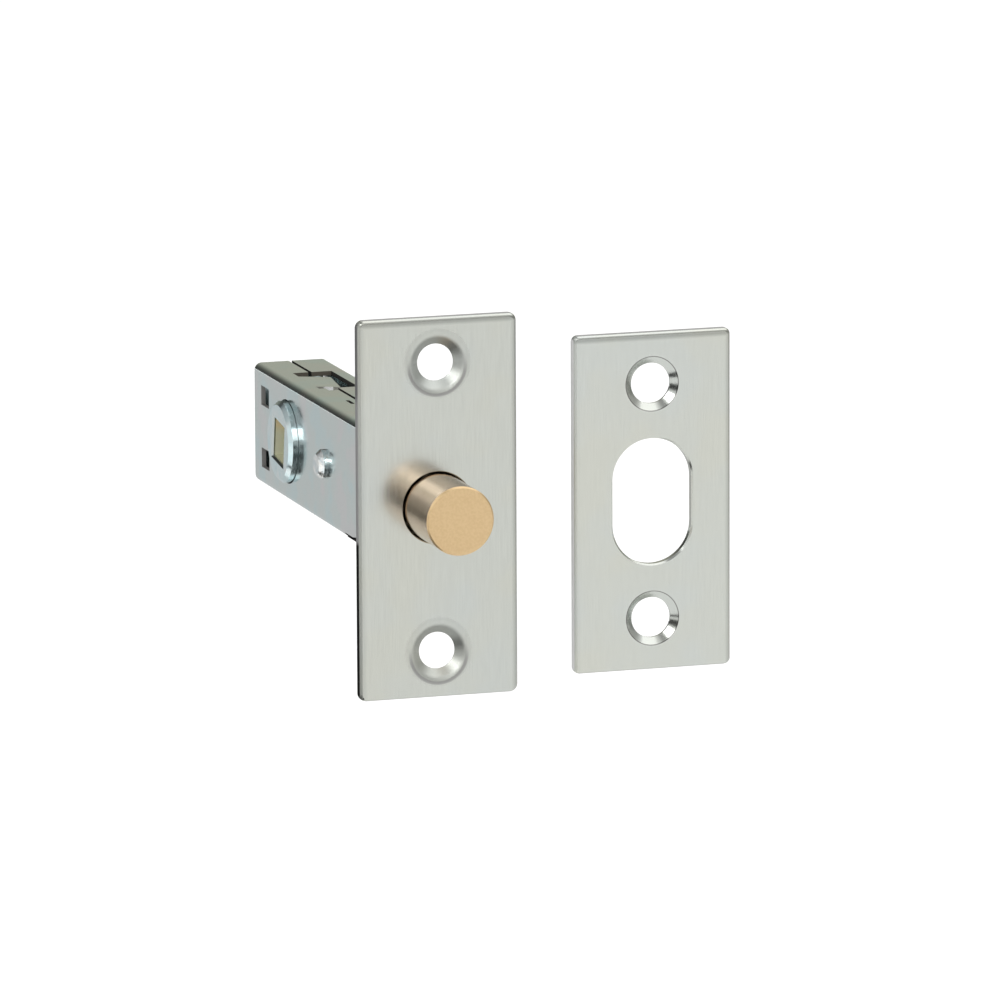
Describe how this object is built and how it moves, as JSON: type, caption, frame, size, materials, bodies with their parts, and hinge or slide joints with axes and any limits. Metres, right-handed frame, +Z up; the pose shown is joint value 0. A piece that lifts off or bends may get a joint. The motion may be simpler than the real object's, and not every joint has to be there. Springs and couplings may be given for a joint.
{
  "type": "privacy bolt",
  "caption": "Mortice privacy bolt: round brass bolt thrown through a satin faceplate by a square-spindle hub in a folded steel case, with its slotted strike plate beside it.",
  "frame": {"origin": "centre of the faceplate's back face, which seats on the edge of the door", "axes": "+X to the right as the faceplate is faced, +Y into the door along the bolt's travel, +Z up"},
  "size_m": [0.0588, 0.0894, 0.058],
  "materials": {
    "satin_stainless": "satin stainless, brushed along its height",
    "zinc_plated_sheet": "bright zinc plate on cold-rolled sheet",
    "zinc_plated_steel": "bright zinc plate",
    "turned_brass": "turned, lightly satin",
    "plated_brass": "bright zinc plate, bare brass in the spindle hole"
  },
  "bodies": {
    "case_body": {"faceplate": "satin_stainless", "case": "zinc_plated_sheet", "guide_pin": "zinc_plated_steel", "strike_plate": "satin_stainless"},
    "bolt_body": {"bolt": "turned_brass", "bolt_tail": "zinc_plated_steel", "tail_pin": "zinc_plated_steel"},
    "hub_body": {"hub": "plated_brass"}
  },
  "joints": [
    {"name": "hub_turn", "type": "hinge", "parent": "case_body", "child": "hub_body", "pos_m": [0, 0.0588, 0], "axis": [1, 0, 0], "range_deg": [0, 90]},
    {"name": "bolt_slide", "type": "slide", "parent": "case_body", "child": "bolt_body", "axis": [0, 1, 0], "range_m": [0, 0.0108]}
  ],
  "couplings": [
    {"joint": "hub_turn", "follows": "bolt_slide", "rad_per_m": 145.44}
  ]
}
